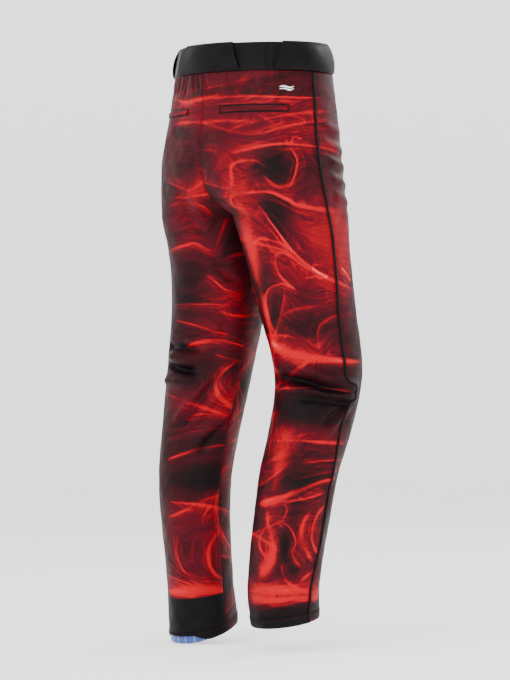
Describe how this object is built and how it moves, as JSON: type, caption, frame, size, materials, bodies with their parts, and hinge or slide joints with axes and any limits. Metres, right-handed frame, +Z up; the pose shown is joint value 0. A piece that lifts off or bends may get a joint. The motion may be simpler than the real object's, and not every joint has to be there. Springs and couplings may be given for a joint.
{
  "type": "hockey_trousers",
  "caption": "Long roller-hockey style trousers with a wide waistband, belt tunnels, welt pockets, zip fly, side piping and hem bands, shaped as worn",
  "frame": {"origin": "the middle of the waistband's top rim", "axes": "+Z up along the body, the wearer's front faces -Y, the wearer's left is +X"},
  "size_m": [0.371, 0.2759, 1.0647],
  "materials": {
    "printed_cloth": "thin stretch polyester knit, dark ground with a flowing red smoke print",
    "black_cloth": "satin black stretch knit",
    "lining_cloth": "plain charcoal mesh lining",
    "piping": "corded black piping",
    "grip_tape": "blue woven tape with pale ticks",
    "elastic": "ribbed black elastic",
    "zip_tape": "black woven zip tape",
    "zip_coil": "black moulded coil",
    "zip_metal": "dark plated metal",
    "snap_metal": "plated pressed metal",
    "thread": "dense black stitching",
    "label": "blank white satin label",
    "mark_print": "small plain white transfer"
  },
  "bodies": {
    "trousers": {"left_back_panel": "printed_cloth", "right_back_panel": "printed_cloth", "left_front_panel": "printed_cloth", "right_front_panel": "printed_cloth", "left_side_piping": "piping", "right_side_piping": "piping", "left_hem_band": "black_cloth", "right_hem_band": "black_cloth", "left_heel_tape": "grip_tape", "right_heel_tape": "grip_tape", "waistband_shell": "black_cloth", "waistband_elastic": "elastic", "waistband_lining": "lining_cloth", "back_belt_tunnel": "black_cloth", "left_belt_tunnel": "black_cloth", "right_belt_tunnel": "black_cloth", "left_front_loop": "black_cloth", "right_front_loop": "black_cloth", "waist_underlap": "black_cloth", "snap_studs": "snap_metal", "left_pocket_welt": "printed_cloth", "right_pocket_welt": "printed_cloth", "left_pocket_bag": "lining_cloth", "right_pocket_bag": "lining_cloth", "pocket_bar_tacks": "thread", "fly_shield": "lining_cloth", "left_zip_tape": "zip_tape", "right_zip_tape": "zip_tape", "left_zip_coil": "zip_coil", "right_zip_coil": "zip_coil", "zip_top_stops": "zip_metal", "zip_bottom_stop": "zip_metal", "fly_bar_tack": "thread", "care_label": "label", "hip_mark": "mark_print"},
    "placket": {"fly_placket": "printed_cloth"},
    "tab": {"waist_tab": "black_cloth", "snap_sockets": "snap_metal"},
    "slider": {"zip_slider": "zip_metal"},
    "pull": {"zip_pull": "zip_metal"}
  },
  "joints": [
    {"name": "placket_fold", "type": "hinge", "parent": "trousers", "child": "placket", "pos_m": [0.0207, -0.1222, -0.129], "axis": [0, 0, 1], "range_deg": [0, 75], "stiffness_Nm_per_rad": 0.003},
    {"name": "tab_fold", "type": "hinge", "parent": "trousers", "child": "tab", "pos_m": [0.02309, -0.12028, -0.025], "axis": [-0.0231, 0.1581, 0.9871], "range_deg": [0, 110]},
    {"name": "zip_slide", "type": "slide", "parent": "trousers", "child": "slider", "axis": [0, 0, -1], "range_m": [0, 0.118]},
    {"name": "pull_turn", "type": "hinge", "parent": "slider", "child": "pull", "pos_m": [0, -0.12285, -0.061], "axis": [-1, 0, 0], "range_deg": [0, 60]}
  ],
  "couplings": [
    {"joint": "pull_turn", "follows": "placket_fold", "ratio": 0.8}
  ]
}
